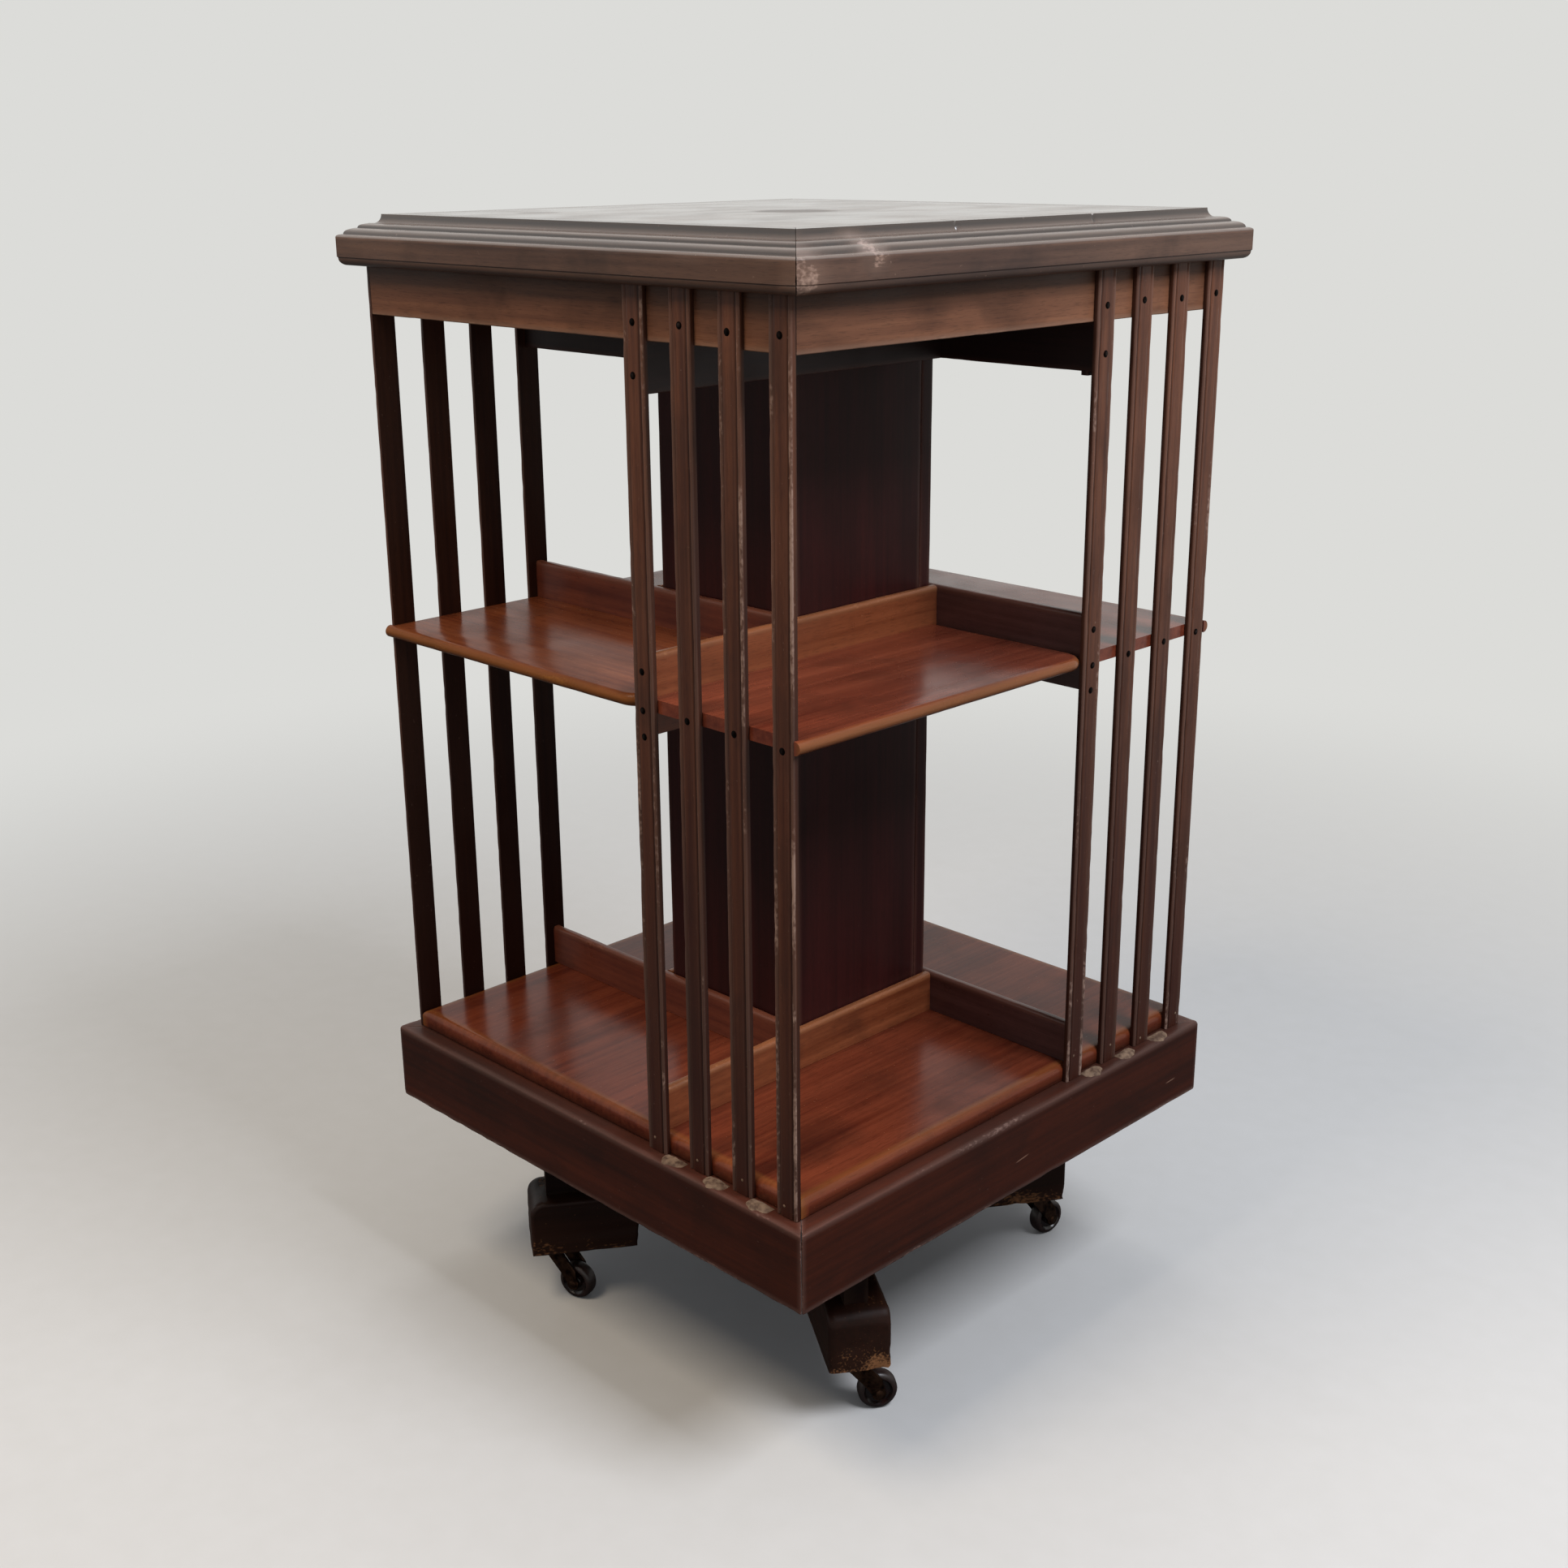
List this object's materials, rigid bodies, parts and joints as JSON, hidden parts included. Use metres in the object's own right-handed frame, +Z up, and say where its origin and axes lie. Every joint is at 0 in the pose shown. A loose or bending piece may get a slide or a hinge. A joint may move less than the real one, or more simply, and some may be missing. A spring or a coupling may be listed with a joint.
{
  "type": "revolving bookcase",
  "caption": "Square two-tier mahogany bookcase with slatted pinwheel sides, turning on a central spindle above a cross base with swivel casters.",
  "frame": {"origin": "on the floor under the spindle's axis, the centre of the base of the bounding box", "axes": "+Z up along the spindle; +X and -Y face the two sides that the picture shows, -Y the left one"},
  "size_m": [0.4606, 0.4606, 0.8512],
  "materials": {
    "top": "worn grey-brown mahogany, satin",
    "frieze": "warm brown mahogany, satin",
    "slat": "dark brown mahogany, satin, worn at the edges",
    "shelf": "red mahogany, glossy",
    "rail": "red-brown mahogany, satin",
    "column": "very dark stained mahogany",
    "plinth": "dark red-brown mahogany, worn at the edges",
    "stand": "dark stained hardwood, worn",
    "iron": "blackened iron",
    "brass": "aged brass",
    "wheel": "dark iron wheel"
  },
  "bodies": {
    "stand": {"arm_1": "stand", "arm_2": "stand", "arm_3": "stand", "arm_4": "stand", "spindle": "iron"},
    "case": {"plinth_right": "plinth", "plinth_back": "plinth", "plinth_left": "plinth", "plinth_front": "plinth", "column_panel_right": "column", "column_panel_back": "column", "column_panel_left": "column", "column_panel_front": "column", "upper_rail_right": "column", "upper_rail_back": "column", "upper_rail_left": "column", "upper_rail_front": "column", "lower_stop_right": "rail", "lower_stop_back": "rail", "lower_stop_left": "rail", "lower_stop_front": "rail", "shelf_divider_right": "rail", "shelf_divider_back": "rail", "shelf_divider_left": "rail", "shelf_divider_front": "rail", "bottom_shelf": "shelf", "shelf_board_right": "shelf", "shelf_board_back": "shelf", "shelf_board_left": "shelf", "shelf_board_front": "shelf", "frieze_right": "frieze", "frieze_back": "frieze", "frieze_left": "frieze", "frieze_front": "frieze", "slat_right_1": "slat", "slat_right_2": "slat", "slat_right_3": "slat", "slat_right_4": "slat", "slat_back_1": "slat", "slat_back_2": "slat", "slat_back_3": "slat", "slat_back_4": "slat", "slat_left_1": "slat", "slat_left_2": "slat", "slat_left_3": "slat", "slat_left_4": "slat", "slat_front_1": "slat", "slat_front_2": "slat", "slat_front_3": "slat", "slat_front_4": "slat", "top_board": "top", "pivot_cup": "iron"},
    "caster_1": {"caster_fork_1": "brass"},
    "wheel_1": {"caster_wheel_1": "wheel"},
    "caster_2": {"caster_fork_2": "brass"},
    "wheel_2": {"caster_wheel_2": "wheel"},
    "caster_3": {"caster_fork_3": "brass"},
    "wheel_3": {"caster_wheel_3": "wheel"},
    "caster_4": {"caster_fork_4": "brass"},
    "wheel_4": {"caster_wheel_4": "wheel"}
  },
  "joints": [
    {"name": "case_turn", "type": "hinge", "parent": "stand", "child": "case", "pos_m": [0, 0, 0.5], "axis": [0, 0, 1], "continuous": true},
    {"name": "caster_1_swivel", "type": "hinge", "parent": "stand", "child": "caster_1", "pos_m": [0.16705, -0.11268, 0.046], "axis": [0, 0, 1], "continuous": true},
    {"name": "wheel_1_roll", "type": "hinge", "parent": "caster_1", "child": "wheel_1", "pos_m": [0.17763, -0.09811, 0.01493], "axis": [-0.809, 0.5878, 0], "continuous": true},
    {"name": "caster_2_swivel", "type": "hinge", "parent": "stand", "child": "caster_2", "pos_m": [0.11268, 0.16705, 0.046], "axis": [0, 0, 1], "continuous": true},
    {"name": "wheel_2_roll", "type": "hinge", "parent": "caster_2", "child": "wheel_2", "pos_m": [0.11549, 0.18483, 0.01493], "axis": [-0.9877, 0.1564, 0], "continuous": true},
    {"name": "caster_3_swivel", "type": "hinge", "parent": "stand", "child": "caster_3", "pos_m": [-0.16705, 0.11268, 0.046], "axis": [0, 0, 1], "continuous": true},
    {"name": "wheel_3_roll", "type": "hinge", "parent": "caster_3", "child": "wheel_3", "pos_m": [-0.14975, 0.11764, 0.01493], "axis": [-0.2756, 0.9613, 0], "continuous": true},
    {"name": "caster_4_swivel", "type": "hinge", "parent": "stand", "child": "caster_4", "pos_m": [-0.11268, -0.16705, 0.046], "axis": [0, 0, 1], "continuous": true},
    {"name": "wheel_4_roll", "type": "hinge", "parent": "caster_4", "child": "wheel_4", "pos_m": [-0.09566, -0.16119, 0.01493], "axis": [-0.3256, 0.9455, 0], "continuous": true}
  ]
}
